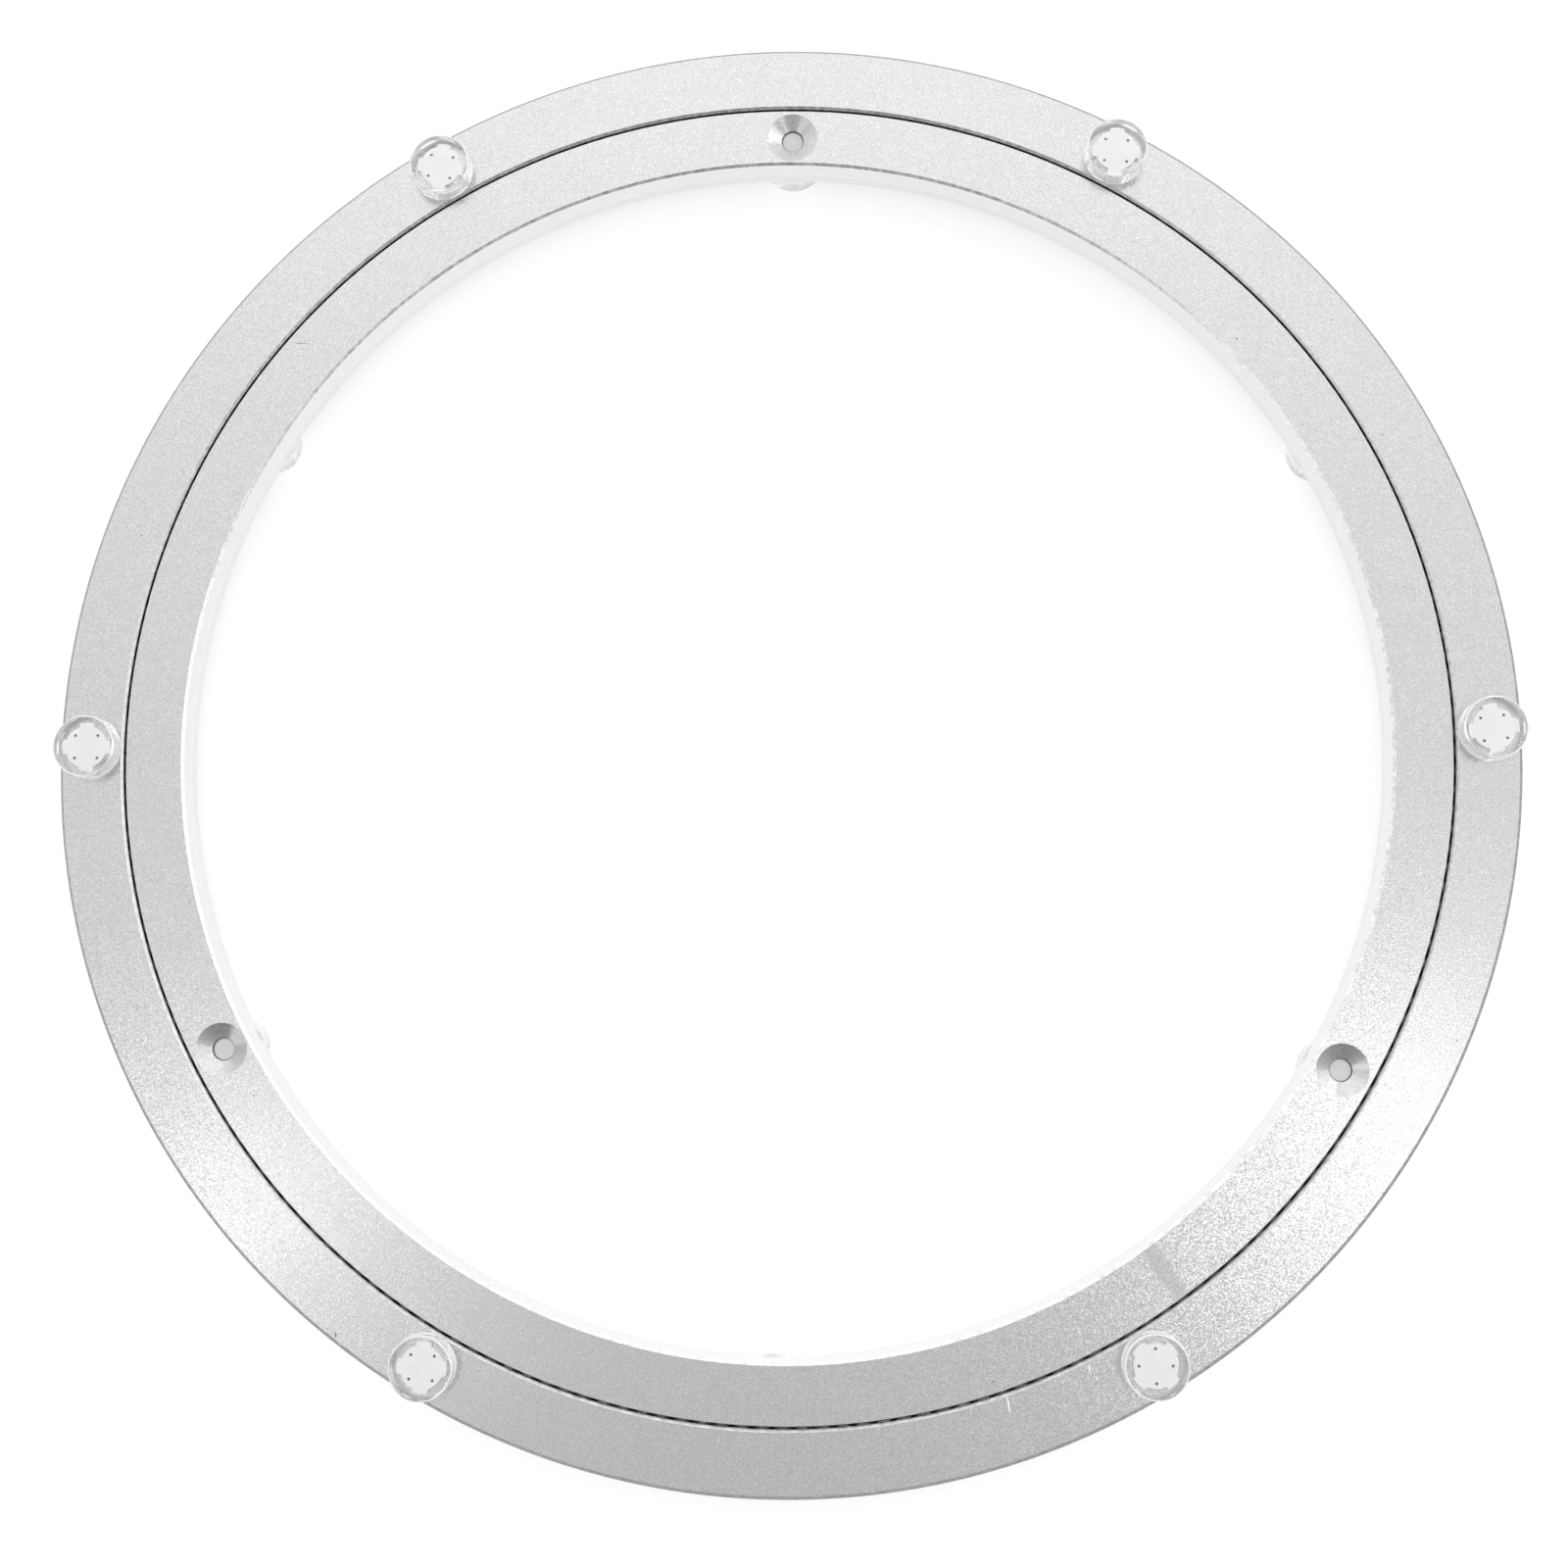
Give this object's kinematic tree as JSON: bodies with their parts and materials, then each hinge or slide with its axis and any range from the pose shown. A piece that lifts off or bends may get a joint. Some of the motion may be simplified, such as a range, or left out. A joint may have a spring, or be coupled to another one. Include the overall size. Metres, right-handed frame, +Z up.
{
  "type": "turntable bearing",
  "caption": "Flat aluminium turntable bearing: two concentric rings on a full ring of steel balls, with clear anti-slip pads above and below and countersunk screw holes.",
  "frame": {"origin": "on the turning axis, in the plane that the base pads stand on", "axes": "+Z up along the turning axis; +X from the axis towards top pad 1; +Y completes the right-handed frame"},
  "size_m": [0.3, 0.3, 0.0165],
  "materials": {
    "ring_aluminium": "bead-blasted, clear anodised, fine sparkle",
    "plug_aluminium": "turned, bare",
    "ball_steel": "polished, lightly oiled",
    "pad_clear": "clear soft plastic",
    "plug_white": "natural white moulded plastic"
  },
  "bodies": {
    "base": {"inner_ring": "ring_aluminium", "base_pad_cover_1": "pad_clear", "base_pad_cover_2": "pad_clear", "base_pad_cover_3": "pad_clear", "base_pad_cover_4": "pad_clear", "base_pad_cover_5": "pad_clear", "base_pad_cover_6": "pad_clear", "base_pad_plug_1": "plug_white", "base_pad_plug_2": "plug_white", "base_pad_plug_3": "plug_white", "base_pad_plug_4": "plug_white", "base_pad_plug_5": "plug_white", "base_pad_plug_6": "plug_white"},
    "balls": {"bearing_balls": "ball_steel"},
    "turntable": {"outer_ring": "ring_aluminium", "ball_filler_plug": "plug_aluminium", "top_pad_cover_1": "pad_clear", "top_pad_cover_2": "pad_clear", "top_pad_cover_3": "pad_clear", "top_pad_cover_4": "pad_clear", "top_pad_cover_5": "pad_clear", "top_pad_cover_6": "pad_clear", "top_pad_plug_1": "plug_white", "top_pad_plug_2": "plug_white", "top_pad_plug_3": "plug_white", "top_pad_plug_4": "plug_white", "top_pad_plug_5": "plug_white", "top_pad_plug_6": "plug_white"}
  },
  "joints": [
    {"name": "ring_spin", "type": "hinge", "parent": "base", "child": "turntable", "pos_m": [0, 0, 0.00825], "axis": [0, 0, 1], "continuous": true},
    {"name": "ball_orbit", "type": "hinge", "parent": "base", "child": "balls", "pos_m": [0, 0, 0.00825], "axis": [0, 0, 1], "continuous": true}
  ],
  "couplings": [
    {"joint": "ball_orbit", "follows": "ring_spin", "ratio": 0.505}
  ]
}
